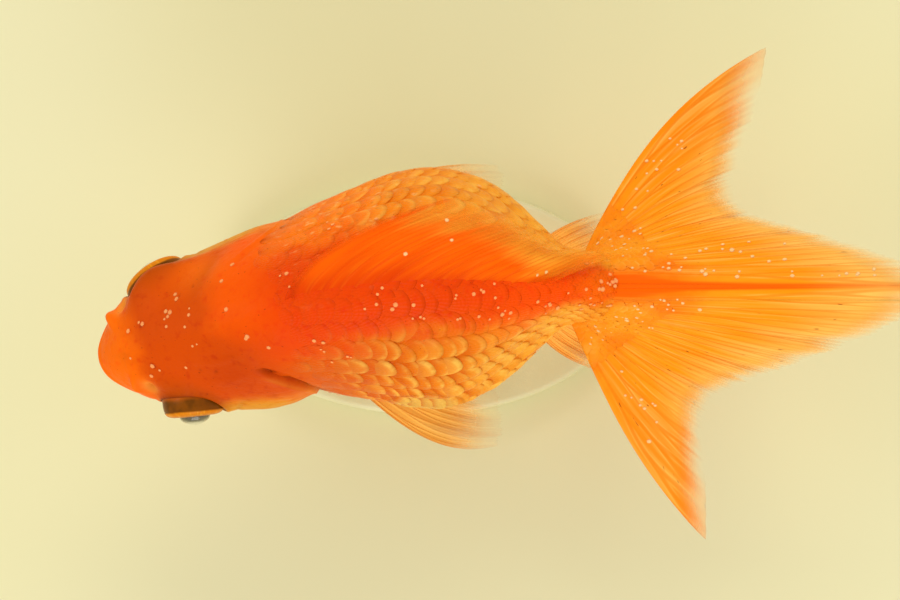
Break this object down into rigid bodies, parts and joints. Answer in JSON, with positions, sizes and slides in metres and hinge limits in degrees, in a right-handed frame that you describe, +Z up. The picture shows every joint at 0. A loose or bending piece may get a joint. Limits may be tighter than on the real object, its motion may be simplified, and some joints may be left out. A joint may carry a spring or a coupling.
{
  "type": "goldfish display model",
  "caption": "Still life-size model of a fancy twin-tailed goldfish, turned slightly to its left, held over an oval display stand by short rods.",
  "frame": {"origin": "centre of the oval underside of the display stand", "axes": "+X from snout to tail, +Y to the fish's right side, +Z up through the back"},
  "size_m": [0.1007, 0.0621, 0.0553],
  "materials": {
    "skin": "moist orange-red fish skin, glossy, deeper red along the back and paler on the flanks and belly",
    "scale": "overlapping pearly scales, orange with pale yellow edges, glossy",
    "fin": "thin translucent orange membrane over raised branching rays, paler toward its edge",
    "pale_fin": "thin translucent pale yellow-orange membrane with fine rays",
    "eye": "dark pupil in an orange and gold iris, polished",
    "cornea": "clear wet bulge over the eye",
    "spot": "small raised white spots on skin and fins, satin",
    "stand": "plain cream satin resin"
  },
  "bodies": {
    "root": {"head": "skin", "lower_jaw": "skin", "trunk": "skin", "tail_stem": "skin", "gill_cover_right": "skin", "gill_cover_left": "skin", "dorsal_fin": "fin", "eye_right": "eye", "eye_left": "eye", "pectoral_fin_right": "pale_fin", "pectoral_fin_left": "pale_fin", "pelvic_fin_right": "pale_fin", "pelvic_fin_left": "pale_fin", "anal_fin_right": "pale_fin", "anal_fin_left": "pale_fin", "tail_fin_upper_right": "fin", "tail_fin_upper_left": "fin", "tail_fin_lower_right": "fin", "tail_fin_lower_left": "fin", "stand_base": "stand", "stand_rod_front": "stand", "stand_rod_rear": "stand"}
  },
  "joints": []
}
